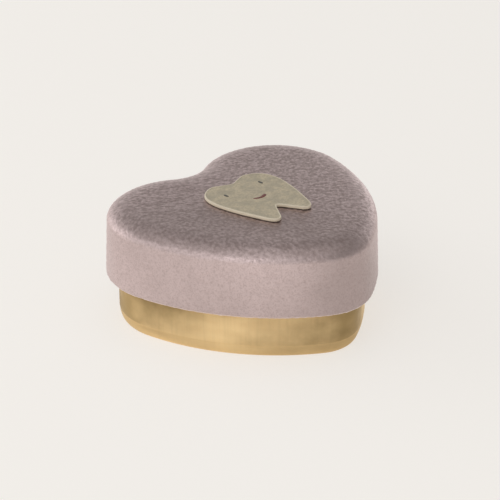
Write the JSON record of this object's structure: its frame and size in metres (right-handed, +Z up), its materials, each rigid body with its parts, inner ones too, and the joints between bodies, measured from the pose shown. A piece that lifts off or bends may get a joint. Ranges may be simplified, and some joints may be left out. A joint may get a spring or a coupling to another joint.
{
  "type": "heart-shaped trinket box",
  "caption": "Heart-shaped slip-lid trinket tin: deep crinkle-coated lid with a raised tooth plaque over a gold-coloured drawn base with a padded lining.",
  "frame": {"origin": "centre of the whole object's bounding box, on the surface it stands on", "axes": "+Z up, +Y from the heart's tip to its cleft, +X to the right seen from the tip; the heart is symmetric across the YZ plane"},
  "size_m": [0.075, 0.0688, 0.0332],
  "materials": {
    "gold_tinplate": "gold-lacquered tinplate, faintly brushed upright, satin",
    "crinkle_coat": "mauve metallic crinkle coat with darker valleys between its fine grains and sparse glints, satin",
    "ivory_enamel": "greenish ivory enamel, satin, with a paler edge",
    "dark_enamel": "dark grey enamel, satin",
    "red_enamel": "reddish brown enamel, satin",
    "adhesive": "off-white double-sided adhesive, matt",
    "velvet": "dusty rose velvet, short pile"
  },
  "bodies": {
    "base": {"base_shell": "gold_tinplate", "lining_pad": "velvet"},
    "lid": {"lid_shell": "crinkle_coat", "plaque_adhesive_pad": "adhesive", "tooth_plaque": "ivory_enamel", "left_eye_enamel": "dark_enamel", "right_eye_enamel": "dark_enamel", "mouth_enamel": "red_enamel"}
  },
  "joints": [
    {"name": "lid_lift", "type": "slide", "parent": "base", "child": "lid", "axis": [0, 0, 1], "range_m": [0, 0.04]}
  ]
}
